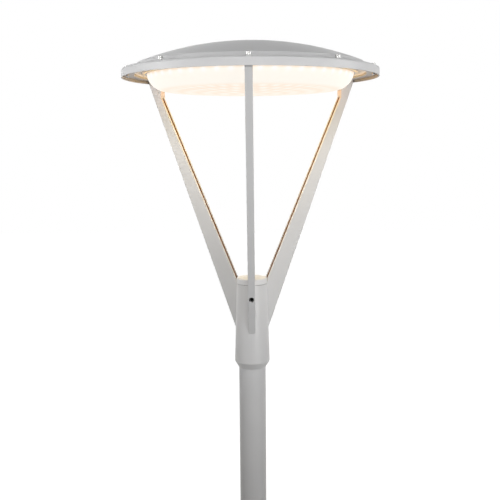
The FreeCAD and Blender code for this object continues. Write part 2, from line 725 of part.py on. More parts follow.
# Canopy: dome, steep skirt, flange and turned-down rim in one shell
canopy = piece("canopy")
dome_edge_z = rim_top + s.skirt_height
dome_centre_z = dome_edge_z - root(s.dome_radius * s.dome_radius - dome_edge_radius * dome_edge_radius)
inner_dome = s.dome_radius - s.canopy_wall
inner_edge = dome_edge_radius - s.canopy_wall
inner_edge_z = dome_centre_z + root(inner_dome * inner_dome - inner_edge * inner_edge)
rim_shoulder = s.rim_radius - s.rim_edge_radius
revolved(canopy, "shell", [
    (s.rim_radius, rim_bottom), (s.rim_radius, rim_top - s.rim_edge_radius, s.rim_edge_radius, 1),
    (rim_shoulder, rim_top), (skirt_radius, rim_top), (dome_edge_radius, dome_edge_z, s.dome_radius, 1),
    (0, dome_centre_z + s.dome_radius), (0, dome_centre_z + inner_dome, inner_dome, -1),
    (inner_edge, inner_edge_z), (skirt_inner, ring_top),
    (rim_shoulder, ring_top, s.rim_edge_radius - s.canopy_wall, -1),
    (s.rim_radius - s.canopy_wall, rim_top - s.rim_edge_radius), (s.rim_radius - s.canopy_wall, rim_bottom)])


def is_shoulder(edge):
    level = all(abs(vertex.Z - dome_edge_z.number) < 1e-4 for vertex in edge.Vertexes)
    return level and isinstance(edge.Curve, Part.Circle)


rounded(canopy, "shoulder", s.shoulder_radius, is_shoulder)
flange_hole = extruded(canopy, "flange_hole", "XY", (bolt_circle, 0, rim_top), s.rim_depth,
                       circles=[(0, 0, s.bolt_radius + s.flange_hole_gap)], kind="Pocket")
polar(canopy, "flange_holes", [flange_hole], s.bolt_count)

# Canopy seal in its groove, inside the bolt circle
ring("canopy_seal", seal_inner + s.seal_gap, seal_outer - s.seal_gap, ring_top - s.seal_depth,
     ring_top - s.seal_gap)

# Polished cap screws and washers round the rim
bolts = piece("canopy_screws")
polar(bolts, "screws", upright_screw(
    bolts, (bolt_circle, 0, bolt_seat), s.bolt_radius, s.bolt_length, s.bolt_head_radius, s.bolt_head_height,
    s.bolt_socket, s.bolt_socket_depth), s.bolt_count)
washers = piece("canopy_washers")
washer_hole = s.bolt_radius + s.bolt_gap
washer = revolved(washers, "washer", [
    (washer_hole, rim_top), (s.washer_radius, rim_top), (s.washer_radius, bolt_seat),
    (washer_hole, bolt_seat)], (bolt_circle, 0, 0))
polar(washers, "set", [washer], s.bolt_count)

# Bowl lens with its flange, rounded edge and shallow crowned bottom
lens = piece("lens")
inner_round = s.lens_edge_radius - s.lens_wall
bottom_radius = lens_radius - s.lens_edge_radius
bowl_radius = (bottom_radius * bottom_radius + s.lens_crown * s.lens_crown) / (2 * s.lens_crown)
lens_inner = lens_radius - s.lens_wall
bottom_z = flange_bottom - s.lens_edge_radius
revolved(lens, "bowl", [
    (flange_radius, flange_bottom), (flange_radius, ring_top),
    (lens_inner, ring_top), (lens_inner, flange_bottom, inner_round, -1),
    (bottom_radius, bottom_z + s.lens_wall, bowl_radius, -1), (0, bottom_z + s.lens_wall - s.lens_crown),
    (0, bottom_z - s.lens_crown, bowl_radius, 1), (bottom_radius, bottom_z, s.lens_edge_radius, 1),
    (lens_radius, flange_bottom)])
ring("lens_seal", ledge_radius, flange_radius, ledge_top, flange_bottom)

# Clamp ring over the lens flange, held by flush screws
clamp = ring("lens_clamp_ring", clamp_hole, clamp_radius, ring_top, clamp_top)
clamp_through = extruded(clamp, "hole", "XY", (clamp_circle, 0, clamp_top), s.clamp_thickness,
                         circles=[(0, 0, s.small_screw_radius + s.bolt_gap)], kind="Pocket")
polar(clamp, "holes", [clamp_through], 2 * s.clamp_count)
small_sink = s.small_screw_head_radius - s.small_screw_radius
clamp_sink = revolved(clamp, "sink", [
    (0, -small_sink), (s.small_screw_radius + s.bolt_gap, -small_sink),
    (s.small_screw_head_radius + s.bolt_gap, 0), (0, 0)], (clamp_circle, 0, clamp_top), kind="Groove")
polar(clamp, "sinks", [clamp_sink], s.clamp_count)
clamp_screws = piece("lens_clamp_screws")
polar(clamp_screws, "screws", sunk_screw(
    clamp_screws, (clamp_circle, 0, clamp_top), s.small_screw_radius, s.clamp_thickness + s.small_screw_bite,
    s.small_screw_head_radius, s.small_screw_socket, s.small_screw_socket_depth), s.clamp_count)

# Gear tray: the plate that carries the light engine below and the control gear above
tray = piece("gear_tray")
foot_reach = s.driver_length / 2 + s.foot_length / 2
surge_reach = s.surge_length / 2 + s.foot_length / 2
terminal_reach = s.terminal_length / 2 + s.foot_length / 2
surge_y = s.driver_width / 2 + s.surge_width / 2 + s.gear_spacing
terminal_y = -(s.driver_width / 2 + s.terminal_width / 2 + s.gear_spacing)
revolved(tray, "plate", [(0, clamp_top), (clamp_radius, clamp_top), (clamp_radius, tray_top), (0, tray_top)])
gear_hole = s.small_screw_radius + s.thread_gap
extruded(tray, "gear_holes", "XY", (0, 0, tray_top), s.tray_thickness, kind="Pocket", circles=[
    (foot_reach, 0, gear_hole), (-foot_reach, 0, gear_hole),
    (surge_reach, surge_y, gear_hole), (-surge_reach, surge_y, gear_hole),
    (terminal_reach, terminal_y, gear_hole), (-terminal_reach, terminal_y, gear_hole),
    (s.earth_place, terminal_y, s.earth_radius + s.thread_gap),
    (-s.tray_wire_hole_place, terminal_y, s.tray_wire_hole_radius)])
half_step = math.pi / dimensions["clamp_count"]
edge_place = (clamp_circle * math.cos(half_step), clamp_circle * math.sin(half_step), tray_top)
edge_hole = extruded(tray, "edge_hole", "XY", edge_place, s.tray_thickness, kind="Pocket",
                     circles=[(0, 0, s.small_screw_radius + s.bolt_gap)])
polar(tray, "edge_holes", [edge_hole], s.clamp_count)
board_thread = extruded(tray, "board_thread", "XY", (board_screw_circle, 0, tray_top), s.tray_thickness,
                        circles=[(0, 0, s.board_screw_radius + s.thread_gap)], kind="Pocket")
polar(tray, "board_threads", [board_thread], s.board_screw_count)


def small_screw(body, place, seat, bite):
    return upright_screw(body, (*place, seat), s.small_screw_radius, bite, s.small_screw_head_radius,
                         s.small_screw_head_height, s.small_screw_socket, s.small_screw_socket_depth)


tray_screws = piece("tray_screws", math.degrees(half_step))
tray_bite = s.tray_thickness + s.clamp_thickness + s.small_screw_bite
polar(tray_screws, "screws", small_screw(tray_screws, (clamp_circle, 0), tray_top, tray_bite), s.clamp_count)

# Light engine: round metal-core board with its rows of light points and its screws
board = ring("led_board", s.board_hole_radius, board_radius, board_bottom, clamp_top)
board_hole = extruded(board, "screw_hole", "XY", (board_screw_circle, 0, clamp_top), s.board_thickness,
                      circles=[(0, 0, s.board_screw_radius + s.bolt_gap)], kind="Pocket")
polar(board, "screw_holes", [board_hole], s.board_screw_count)
leds = piece("led_packages")
for row in range(dimensions["led_rows"]):
    led_circle = led_outer_circle - row * s.led_row_pitch
    led = extruded(leds, "row%d_led" % row, "XY", (led_circle, 0, board_bottom), s.led_height,
                   rectangle(s.led_size, s.led_size, -s.led_size / 2), flip=True)
    polar(leds, "row%d" % row, [led], (s.led_rows - row) * s.led_row_step)
board_screws = piece("led_board_screws")
polar(board_screws, "screws", upright_screw(
    board_screws, (board_screw_circle, 0, board_bottom), s.board_screw_radius,
    s.board_thickness + s.board_screw_grip, s.board_screw_head_radius, s.board_screw_head_height,
    s.board_screw_socket, s.board_screw_socket_depth, head_down=True), s.board_screw_count)


def gear_box(node, length, width, height, place_y, reach):
    # Closed housing on a foot plate with a screw hole at each end
    body = piece(node)
    extruded(body, "housing", "XY", (0, place_y, tray_top), height, rectangle(length, width, -width / 2))
    top = tray_top.number + height.number

    def on_top_or_upright(edge):
        levels = sorted(vertex.Z for vertex in edge.Vertexes)
        return abs(levels[-1] - top) < 1e-4

    rounded(body, "soft_edges", s.gear_edge_radius, on_top_or_upright)
    extruded(body, "feet", "XY", (0, place_y, tray_top), s.foot_height,
             rectangle(length + 2 * s.foot_length, s.foot_width, -s.foot_width / 2))
    foot_hole = s.small_screw_radius + s.bolt_gap
    extruded(body, "foot_holes", "XY", (0, place_y, tray_top + s.foot_height), s.foot_height, kind="Pocket",
             circles=[(reach, 0, foot_hole), (-reach, 0, foot_hole)])
    return body


def gear_screws(node, place_y, reach):
    body = piece(node)
    bite = s.foot_height + s.tray_thickness - s.thread_gap
    screw = small_screw(body, (-reach, place_y), tray_top + s.foot_height, bite)
    row_of(body, "pair", screw, "X", 2 * reach, 2)


gear_box("driver", s.driver_length, s.driver_width, s.driver_height, 0, foot_reach)
gear_screws("driver_screws", 0, foot_reach)
gear_box("surge_protector", s.surge_length, s.surge_width, s.surge_height, surge_y, surge_reach)
gear_screws("surge_screws", surge_y, surge_reach)

# Terminal block with wire ports in its sides and clamping screws in wells on top
terminal = gear_box("terminal_block", s.terminal_length, s.terminal_width, s.terminal_height, terminal_y,
                    terminal_reach)
terminal_top = tray_top + s.terminal_height
port_z = tray_top + s.terminal_height / 2
outer_pole = (s.terminal_poles - 1) * s.terminal_pitch / 2
port = extruded(terminal, "port", "XZ", (-outer_pole, terminal_y - s.terminal_width / 2, port_z),
                s.terminal_port_depth, circles=[(0, 0, s.terminal_port_radius)], kind="Pocket")
row_of(terminal, "ports", [port], "X", 2 * outer_pole, s.terminal_poles)
well = extruded(terminal, "well", "XY", (-outer_pole, terminal_y, terminal_top), s.terminal_well_depth,
                circles=[(0, 0, s.terminal_well_radius)], kind="Pocket")
row_of(terminal, "wells", [well], "X", 2 * outer_pole, s.terminal_poles)
gear_screws("terminal_screws", terminal_y, terminal_reach)
clamps = piece("terminal_clamps")
clamp_seat = terminal_top - s.terminal_well_depth
clamp_head = extruded(clamps, "head", "XY", (-outer_pole, terminal_y, clamp_seat), s.terminal_clamp_height,
                      circles=[(0, 0, s.terminal_clamp_radius)])
clamp_slot = extruded(clamps, "slot", "XY", (-outer_pole, terminal_y, clamp_seat + s.terminal_clamp_height),
                      s.terminal_clamp_height / 2, kind="Pocket",
                      points=rectangle(2 * s.terminal_well_radius, s.terminal_slot, -s.terminal_slot / 2))
row_of(clamps, "heads", [clamp_head, clamp_slot], "X", 2 * outer_pole, s.terminal_poles)

# Earth stud with its nut
stud = piece("earth_stud")
revolved(stud, "turned", [
    (0, clamp_top), (s.earth_radius, clamp_top), (s.earth_radius, tray_top), (s.earth_base_radius, tray_top),
    (s.earth_base_radius, tray_top + s.earth_base_height), (s.earth_radius, tray_top + s.earth_base_height),
    (s.earth_radius, tray_top + s.earth_height), (0, tray_top + s.earth_height)],
    (s.earth_place, terminal_y, 0))
nut = piece("earth_nut")
nut_seat = tray_top + s.earth_base_height
extruded(nut, "hexagon", "XY", (s.earth_place, terminal_y, nut_seat), s.earth_nut_height,
         hexagon(s.earth_nut_flats))
extruded(nut, "thread", "XY", (s.earth_place, terminal_y, nut_seat + s.earth_nut_height), s.earth_nut_height,
         circles=[(0, 0, s.earth_radius + s.thread_gap)], kind="Pocket")

doc.recompute()
for item in doc.Objects:
    if {"Invalid", "Error"} & set(item.State):
        raise RuntimeError("%s did not build: %s" % (item.Name, item.State))
    if item.TypeId in ("PartDesign::Pocket", "PartDesign::Groove"):
        if item.Shape.Volume > item.BaseFeature.Shape.Volume - 1e-3:
            raise RuntimeError("%s cuts nothing" % item.Name)
for item in pieces:
    if item.Shape.isNull() or not item.Shape.isValid():
        raise RuntimeError("%s has no valid shape" % item.Label)
os.makedirs("parts", exist_ok=True)
for item in pieces:
    item.Shape.exportStep("parts/%s.step" % item.Label)
    print("%-20s solids %3d  volume %12.1f" % (item.Label, len(item.Shape.Solids), item.Shape.Volume))
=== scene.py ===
import math
import bpy
import numpy as np
from mathutils import Matrix, Vector


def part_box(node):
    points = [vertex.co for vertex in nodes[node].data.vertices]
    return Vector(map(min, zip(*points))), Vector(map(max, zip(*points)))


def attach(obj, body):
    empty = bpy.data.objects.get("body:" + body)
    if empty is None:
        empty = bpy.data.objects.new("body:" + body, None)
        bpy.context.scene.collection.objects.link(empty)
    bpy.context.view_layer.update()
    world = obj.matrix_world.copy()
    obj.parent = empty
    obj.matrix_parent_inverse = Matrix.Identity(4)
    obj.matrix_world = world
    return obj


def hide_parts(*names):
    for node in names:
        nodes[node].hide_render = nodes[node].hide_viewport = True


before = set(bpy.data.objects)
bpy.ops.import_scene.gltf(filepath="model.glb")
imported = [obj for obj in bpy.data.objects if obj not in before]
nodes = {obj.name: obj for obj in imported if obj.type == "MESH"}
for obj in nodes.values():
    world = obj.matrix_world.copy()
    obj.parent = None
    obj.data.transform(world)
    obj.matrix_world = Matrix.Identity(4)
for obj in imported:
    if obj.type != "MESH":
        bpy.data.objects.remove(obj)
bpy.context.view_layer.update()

scene = bpy.context.scene
print("frame loaded:", len(nodes), "nodes")


def hexColor(text):
    # sRGB hex to linear
    srgb = np.array([int(text[i:i + 2], 16) for i in (1, 3, 5)]) / 255
    linear = np.where(srgb <= 0.04045, srgb / 12.92, ((srgb + 0.055) / 1.055) ** 2.4)
    return (*linear.tolist(), 1.0)


def addNode(tree, kind, settings=None, inputs=None, links=None):
    # settings are properties, inputs are socket values, links are the sockets that feed this node
    node = tree.nodes.new(kind)
    for key, value in (settings or {}).items():
        setattr(node, key, value)
    for key, value in (inputs or {}).items():
        node.inputs[key].default_value = value
    for key, socket in (links or {}).items():
        tree.links.new(socket, node.inputs[key])
    return node


def newMaterial(name):
    material = bpy.data.materials.new(name)
    material.use_nodes = True
    tree = material.node_tree
    tree.nodes.clear()
    output = addNode(tree, "ShaderNodeOutputMaterial")
    place = addNode(tree, "ShaderNodeTexCoord").outputs["Object"]
    return material, tree, output, place


def perMetre(millimetres):
    # texture scale whose features are about this wide
    return 1000 / millimetres


def dress(material, *names):
    for name in names:
        mesh = nodes[name].data
        mesh.materials.clear()
        mesh.materials.append(material)


# aluminium casting and plate under a satin silver-grey powder coat:
# an even, slightly clouded grey with a soft sheen and faint orange peel, drawn coarser than real to show
coat = {"name": "powder_coated_aluminium", "color": "#c2c2c2", "shade": "#bbbbbc", "roughness": 0.46,
        "spread": 0.12, "specular": 0.35, "peelMm": 3.0, "cloudMm": 70, "peel": 0.05}
# the hub's turned casting takes the same coat on a smoother skin, so lamps draw soft upright streaks on it
hubCoat = {"name": "powder_coated_turned_hub", "color": "#c4c4c4", "shade": "#bebebf", "roughness": 0.34,
           "spread": 0.12, "specular": 0.36, "peelMm": 2.5, "cloudMm": 40, "peel": 0.02}
# the die-cast cap is rougher than the hub; painted light: it takes the same coat in a lighter grey, so it
# reads brighter than the hub
capCoat = {"name": "powder_coated_die_cast_cap_painted_lighter", "color": "#d0d0d0", "shade": "#c8c8c9", "roughness": 0.42,
           "spread": 0.12, "specular": 0.35, "peelMm": 2.5, "cloudMm": 40, "peel": 0.03}
peelHeight = 0.0005  # of the orange peel at full strength


def makePowderCoat(look):
    material, tree, output, place = newMaterial(look["name"])
    cloud = addNode(tree, "ShaderNodeTexNoise", {}, {"Scale": perMetre(look["cloudMm"]), "Detail": 3},
                    {"Vector": place})
    peel = addNode(tree, "ShaderNodeTexNoise", {}, {"Scale": perMetre(look["peelMm"]), "Detail": 2},
                   {"Vector": place})
    tone = addNode(tree, "ShaderNodeMix", {"data_type": "RGBA"},
                   {"A": hexColor(look["shade"]), "B": hexColor(look["color"])},
                   {"Factor": cloud.outputs["Fac"]})
    half = look["spread"] / 2
    gloss = addNode(tree, "ShaderNodeMapRange", {},
                    {"To Min": look["roughness"] - half, "To Max": look["roughness"] + half},
                    {"Value": peel.outputs["Fac"]})
    bump = addNode(tree, "ShaderNodeBump", {}, {"Strength": look["peel"], "Distance": peelHeight},
                   {"Height": peel.outputs["Fac"]})
    skin = addNode(tree, "ShaderNodeBsdfPrincipled", {}, {"Specular IOR Level": look["specular"]},
                   {"Base Color": tone.outputs["Result"], "Roughness": gloss.outputs["Result"],
                    "Normal": bump.outputs["Normal"]})
    tree.links.new(skin.outputs["BSDF"], output.inputs["Surface"])
    return material


dress(makePowderCoat(coat), "post", "arm_front", "arm_right", "arm_left", "frame_ring", "canopy")
dress(makePowderCoat(hubCoat), "hub_body")
# painted light: the cap wears the lighter grey copy of the coat
dress(makePowderCoat(capCoat), "hub_cap")

# bare metals: drawn or turned stock whose fine lines show as uneven gloss
# polished stainless steel: grey until it catches a lamp, with soft smears
stainless = {"name": "polished_stainless_steel", "color": "#b0b0ae", "shade": "#a0a09e", "metallic": 1.0,
             "specular": 0.5, "roughness": 0.24, "spread": 0.10, "grainMm": (2.0, 2.0, 0.5), "bump": 0.02}
# pickled stainless steel of the washers and pinch screws, matt
pickled = {"name": "pickled_stainless_steel", "color": "#a3a3a1", "shade": "#8c8c8a", "metallic": 1.0,
           "specular": 0.5, "roughness": 0.5, "spread": 0.14, "grainMm": (1.5, 1.5, 1.5), "bump": 0.06}
# black oxide on carbon steel, dull and oily
blackOxide = {"name": "black_oxide_steel", "color": "#1d1c1b", "shade": "#121212", "metallic": 0.7,
              "specular": 0.3, "roughness": 0.45, "spread": 0.2, "grainMm": (1.5, 1.5, 1.5), "bump": 0.05}
# mill-finish aluminium sheet, grey with rolling lines across it
millAluminium = {"name": "mill_finish_aluminium", "color": "#c8c9cb", "shade": "#aeb0b3", "metallic": 1.0,
                 "specular": 0.5, "roughness": 0.36, "spread": 0.16, "grainMm": (90, 2.5, 90), "bump": 0.05}
# turned brass, yellow with brownish handling marks
brass = {"name": "turned_brass", "color": "#c9a254", "shade": "#a17c3c", "metallic": 1.0,
         "specular": 0.5, "roughness": 0.28, "spread": 0.16, "grainMm": (3.0, 3.0, 0.6), "bump": 0.04}
# moulded parts: a fine spark-eroded grain from the tool
# grey silicone of the joint under the cap, soft and matt; its dark grey is partly painted shade, drawing
# the shaded line of the joint
greySilicone = {"name": "moulded_grey_silicone_painted_joint_shade", "color": "#77777a", "shade": "#68686a", "metallic": 0.0,
                "specular": 0.3, "roughness": 0.7, "spread": 0.12, "grainMm": (1.2, 1.2, 1.2), "bump": 0.08}
# EPDM rubber, near black and matt
rubber = {"name": "moulded_epdm_rubber", "color": "#242425", "shade": "#191919", "metallic": 0.0,
          "specular": 0.3, "roughness": 0.78, "spread": 0.12, "grainMm": (1.2, 1.2, 1.2), "bump": 0.12}
# extruded PVC strip, dull with lines along it; its dark orange-brown is painted shade of the arms' grooves
# with painted warm light from the lens
darkPlastic = {"name": "extruded_brown_pvc_painted_shade_and_glow", "color": "#6b4219", "shade": "#53320f", "metallic": 0.0,
               "specular": 0.05, "roughness": 0.6, "spread": 0.14, "grainMm": (1.5, 1.5, 12), "bump": 0.08}
# flame-retardant polycarbonate cases, off white
paleCase = {"name": "moulded_white_polycarbonate", "color": "#e2e1db", "shade": "#d3d2cb", "metallic": 0.0,
            "specular": 0.5, "roughness": 0.5, "spread": 0.12, "grainMm": (1.6, 1.6, 1.6), "bump": 0.10}
# glass-filled polyamide terminal body, mid grey with a dry look
greyBody = {"name": "moulded_grey_polyamide", "color": "#85878a", "shade": "#74767a", "metallic": 0.0,
            "specular": 0.5, "roughness": 0.62, "spread": 0.12, "grainMm": (1.4, 1.4, 1.4), "bump": 0.12}
smearMm = 25  # width of the soft tone patches
grainHeight = 0.0003  # of the grain at full strength


def makeGrained(look):
    material, tree, output, place = newMaterial(look["name"])
    grainScale = tuple(perMetre(size) for size in look["grainMm"])
    spread = addNode(tree, "ShaderNodeMapping", {}, {"Scale": grainScale}, {"Vector": place})
    grain = addNode(tree, "ShaderNodeTexNoise", {}, {"Scale": 1.0, "Detail": 4},
                    {"Vector": spread.outputs[0]})
    smear = addNode(tree, "ShaderNodeTexNoise", {}, {"Scale": perMetre(smearMm), "Detail": 3},
                    {"Vector": place})
    tone = addNode(tree, "ShaderNodeMix", {"data_type": "RGBA"},
                   {"A": hexColor(look["shade"]), "B": hexColor(look["color"])},
                   {"Factor": smear.outputs["Fac"]})
    half = look["spread"] / 2
    gloss = addNode(tree, "ShaderNodeMapRange", {},
                    {"To Min": look["roughness"] - half, "To Max": look["roughness"] + half},
                    {"Value": grain.outputs["Fac"]})
    bump = addNode(tree, "ShaderNodeBump", {}, {"Strength": look["bump"], "Distance": grainHeight},
                   {"Height": grain.outputs["Fac"]})
    skin = addNode(tree, "ShaderNodeBsdfPrincipled", {},
                   {"Metallic": look["metallic"], "Specular IOR Level": look["specular"]},
                   {"Base Color": tone.outputs["Result"], "Roughness": gloss.outputs["Result"],
                    "Normal": bump.outputs["Normal"]})
    tree.links.new(skin.outputs["BSDF"], output.inputs["Surface"])
    return material


stainlessSkin = makeGrained(stainless)
dress(stainlessSkin, "arm_head_screws", "lens_clamp_screws", "tray_screws",
      "led_board_screws", "driver_screws", "surge_screws", "terminal_screws")
dress(makeGrained(pickled), "canopy_washers", "arm_cable_screws")
dress(makeGrained(blackOxide), "hub_set_screws", "arm_root_screws")
dress(makeGrained(millAluminium), "lens_clamp_ring", "gear_tray")
dress(makeGrained(brass), "terminal_clamps", "earth_stud", "earth_nut")
# painted shade: the gasket's dark grey draws the shaded line under the cap
dress(makeGrained(greySilicone), "hub_cap_gasket")
dress(makeGrained(rubber), "hub_cap_o_ring", "hub_grommets", "arm_grommets", "canopy_seal",
      "lens_seal")
# painted shade and painted warm lens light: the dark orange-brown of the wire covers
dress(makeGrained(darkPlastic), "arm_wire_covers", "breather_vent")
dress(makeGrained(paleCase), "driver", "surge_protector")
dress(makeGrained(greyBody), "terminal_block")

# aluminium-core circuit board under white solder mask: glossy white, copper rings just showing through
board = {"mask": "#ecece6", "copper": "#dcdccf", "ringMm": 125.66, "ringEdge": (0.45, 0.55),
         "roughness": 0.32, "bump": 0.15, "copperHeight": 0.0001}
waveRadians = 20  # a ring wave of scale 1 turns this far in a metre


def makeBoardMask():
    material, tree, output, place = newMaterial("white_solder_mask_board")
    tracks = addNode(tree, "ShaderNodeTexWave", {"wave_type": "RINGS", "rings_direction": "Z"},
                     {"Scale": perMetre(board["ringMm"]) * 2 * math.pi / waveRadians, "Distortion": 0.0},
                     {"Vector": place})
    start, end = board["ringEdge"]
    edge = addNode(tree, "ShaderNodeMapRange", {}, {"From Min": start, "From Max": end},
                   {"Value": tracks.outputs["Fac"]})
    tone = addNode(tree, "ShaderNodeMix", {"data_type": "RGBA"},
                   {"A": hexColor(board["mask"]), "B": hexColor(board["copper"])},
                   {"Factor": edge.outputs["Result"]})
    bump = addNode(tree, "ShaderNodeBump", {},
                   {"Strength": board["bump"], "Distance": board["copperHeight"]},
                   {"Height": edge.outputs["Result"]})
    skin = addNode(tree, "ShaderNodeBsdfPrincipled", {}, {"Roughness": board["roughness"]},
                   {"Base Color": tone.outputs["Result"], "Normal": bump.outputs["Normal"]})
    tree.links.new(skin.outputs["BSDF"], output.inputs["Surface"])
    return material


# LED phosphor under silicone: yellow, lit, grainy close up
phosphor = {"color": "#f3d98a", "shade": "#e2bd5c", "glow": "#fff0cf", "strength": 0.9, "grainMm": 1.0,
            "roughness": 0.25}


def makePhosphor():
    material, tree, output, place = newMaterial("led_phosphor_silicone")
    grain = addNode(tree, "ShaderNodeTexNoise", {}, {"Scale": perMetre(phosphor["grainMm"]), "Detail": 2},
                    {"Vector": place})
    tone = addNode(tree, "ShaderNodeMix", {"data_type": "RGBA"},
                   {"A": hexColor(phosphor["shade"]), "B": hexColor(phosphor["color"])},
                   {"Factor": grain.outputs["Fac"]})
    skin = addNode(tree, "ShaderNodeBsdfPrincipled", {},
                   {"Roughness": phosphor["roughness"], "Emission Color": hexColor(phosphor["glow"]),
                    "Emission Strength": phosphor["strength"]}, {"Base Color": tone.outputs["Result"]})
    tree.links.new(skin.outputs["BSDF"], output.inputs["Surface"])
    return material


dress(makeBoardMask(), "led_board")
dress(makePhosphor(), "led_packages")
print("finishes on the CAD pieces done")


def roundGrid(points, firstPole=None, lastPole=None):
    # rows of points that go round an axis, joined by quads; a pole closes its end row with a fan
    rows, columns = points.shape[:2]
    row, column = np.meshgrid(np.arange(rows - 1), np.arange(columns), indexing="ij")
    beside = (column + 1) % columns
    quads = np.stack([row * columns + column, row * columns + beside,
                      (row + 1) * columns + beside, (row + 1) * columns + column], axis=-1)
    vertices = points.reshape(-1, 3)
    faces = quads.reshape(-1, 4).tolist()
    around = np.arange(columns)
    after = (around + 1) % columns
    if firstPole is not None:
        faces += np.stack([np.full(columns, len(vertices)), after, around], axis=-1).tolist()
        vertices = np.vstack([vertices, firstPole])
    if lastPole is not None:
        last = (rows - 1) * columns
        faces += np.stack([last + around, last + after, np.full(columns, len(vertices))], axis=-1).tolist()
        vertices = np.vstack([vertices, lastPole])
    return vertices, faces


def makePiece(name, vertices, faces, sharpDegrees):
    mesh = bpy.data.meshes.new(name)
    mesh.from_pydata(vertices.tolist(), [], faces)
    mesh.shade_smooth()
    mesh.set_sharp_from_angle(angle=math.radians(sharpDegrees))
    piece = bpy.data.objects.new(name, mesh)
    scene.collection.objects.link(piece)
    return piece


# lens: moulded opal acrylic bowl, 50 lights along its edge and a faint rosette under the inner lights
lens = {"wall": 0.004, "sideRadius": 0.222, "edgeRadius": 0.0374, "crown": 0.008, "flangeRadius": 0.2285,
        "flangeInner": 0.218, "flangeHeight": 0.004, "columns": 600, "sharpDegrees": 40,
        "crownRows": 48, "roundRows": 37, "innerRoundRows": 13, "innerCrownRows": 12,
        "ringRadii": (0.022, 0.058, 0.095, 0.131, 0.168, 0.205), "ringLobes": (5, 10, 20, 30, 40, 50),
        "ringWidth": 0.023, "lobeMean": 0.6, "lobeSwing": 0.4, "relief": 0.0006, "reliefFade": 0.012,
        "floorEdge": 0.014, "floorFade": 0.020, "polePetal": 0.5,
        "lights": 50, "lightsTurn": 5.5, "lightHeight": 0.0105, "lightSize": (0.0062, 0.0046),
        "creamHeight": 0.0105, "creamSize": 0.006}


def lensRosette(radius, angle):
    # each ring of lights is a raised cosine of the distance to it, so dark rings lie between them;
    # along it the brightness swings about its mean with the cosine of lobes times angle
    field = np.zeros(np.broadcast(radius, angle).shape)
    for number, (ringRadius, lobes) in enumerate(zip(lens["ringRadii"], lens["ringLobes"])):
        away = np.clip(np.abs(radius - ringRadius) / lens["ringWidth"], 0, 1)
        across = (1 + np.cos(np.pi * away)) / 2
        field += across * (lens["lobeMean"] + lens["lobeSwing"] * np.cos(lobes * angle + number * np.pi))
    return field


def makeLensBowl():
    low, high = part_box("lens")
    poleZ, flangeTop = low[2], high[2]
    flangeZ = flangeTop - lens["flangeHeight"]
    bottomRadius = lens["sideRadius"] - lens["edgeRadius"]
    bowlRadius = (bottomRadius ** 2 + lens["crown"] ** 2) / (2 * lens["crown"])
    # profile: shallow arc out from the pole, quarter round up to the flange, round the flange, back inside
    r = np.linspace(0, bottomRadius, lens["crownRows"])[1:]
    crownZ = poleZ + bowlRadius - np.sqrt(bowlRadius ** 2 - r ** 2)
    turn = np.radians(np.linspace(-90, 0, lens["roundRows"])[1:])
    innerRound = lens["edgeRadius"] - lens["wall"]
    turnIn = np.radians(np.linspace(0, -90, lens["innerRoundRows"]))
    rIn = np.linspace(bottomRadius, 0, lens["innerCrownRows"])[1:-1]
    crownIn = poleZ + lens["wall"] + bowlRadius - np.sqrt(bowlRadius ** 2 - rIn ** 2)
    profileR = np.concatenate([r, bottomRadius + lens["edgeRadius"] * np.cos(turn),
                               [lens["flangeRadius"], lens["flangeRadius"], lens["flangeInner"]],
                               bottomRadius + innerRound * np.cos(turnIn), rIn])
    profileZ = np.concatenate([crownZ, flangeZ + lens["edgeRadius"] * np.sin(turn),
                               [flangeZ, flangeTop, flangeTop],
                               flangeZ + innerRound * np.sin(turnIn), crownIn])
    angle = np.linspace(0, 2 * np.pi, lens["columns"], endpoint=False)[None, :]
    radius = np.repeat(profileR[:, None], lens["columns"], axis=1)
    height = np.repeat(profileZ[:, None], lens["columns"], axis=1)
    outside = (np.arange(len(profileR)) < len(r))[:, None]
    rosette = np.where(outside, lensRosette(radius, angle), 0)
    # the rosette is pressed into the bottom, fading out before the round
    fade = np.clip((bottomRadius - radius) / lens["reliefFade"], 0, 1)
    height = height + np.where(outside, lens["relief"] * (1 - rosette) * fade, 0)
    points = np.stack([radius * np.cos(angle), radius * np.sin(angle), height], axis=-1)
    vertices, faces = roundGrid(points, (0, 0, poleZ), (0, 0, poleZ + lens["wall"]))
    piece = makePiece("lensBowl", vertices, faces, lens["sharpDegrees"])

    # spark: a soft round spot at each light, from the distance along the edge and the height
    x, y, z = vertices.T
    reach = np.hypot(x, y)
    pitch = 2 * np.pi / lens["lights"]
    front = np.arctan2(x, -y) - math.radians(lens["lightsTurn"])
    along = (np.mod(front + pitch / 2, pitch) - pitch / 2) * lens["sideRadius"]
    up = z - (flangeZ - lens["lightHeight"])
    width, tall = lens["lightSize"]
    slack = 1e-6  # for rounding
    side = (reach > bottomRadius) & (reach <= lens["sideRadius"] + slack)
    spark = np.where(side, np.exp(-(along / width) ** 2 - (up / tall) ** 2), 0)
    band = np.where(side, np.clip((z - flangeZ + lens["creamHeight"]) / lens["creamSize"], 0, 1), 0)
    poles = np.full(2, lens["polePetal"])
    petal = np.concatenate([np.broadcast_to(rosette, radius.shape).ravel(), poles])
    floor = np.clip((bottomRadius + lens["floorEdge"] - reach) / lens["floorFade"], 0, 1)
    for name, values in {"spark": spark, "band": band, "petal": petal, "floor": floor}.items():
        attribute = piece.data.attributes.new(name, "FLOAT", "POINT")
        attribute.data.foreach_set("value", values.astype(np.float32))
    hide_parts("lens")
    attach(piece, "head")
    return piece


# opal acrylic lit from inside: warm white all over, cream between the lights, faint peach rosette;
# the body colour stays low because the light comes from within
opal = {"body": "#57534c", "side": "#fffaf1", "cream": "#f5ddc1", "light": "#ffffff", "petal": "#fffbf2",
        "hollow": "#fbe8d6", "glow": 0.95, "cloud": 0.04, "cloudMm": 8, "roughness": 0.6, "specular": 0.02}


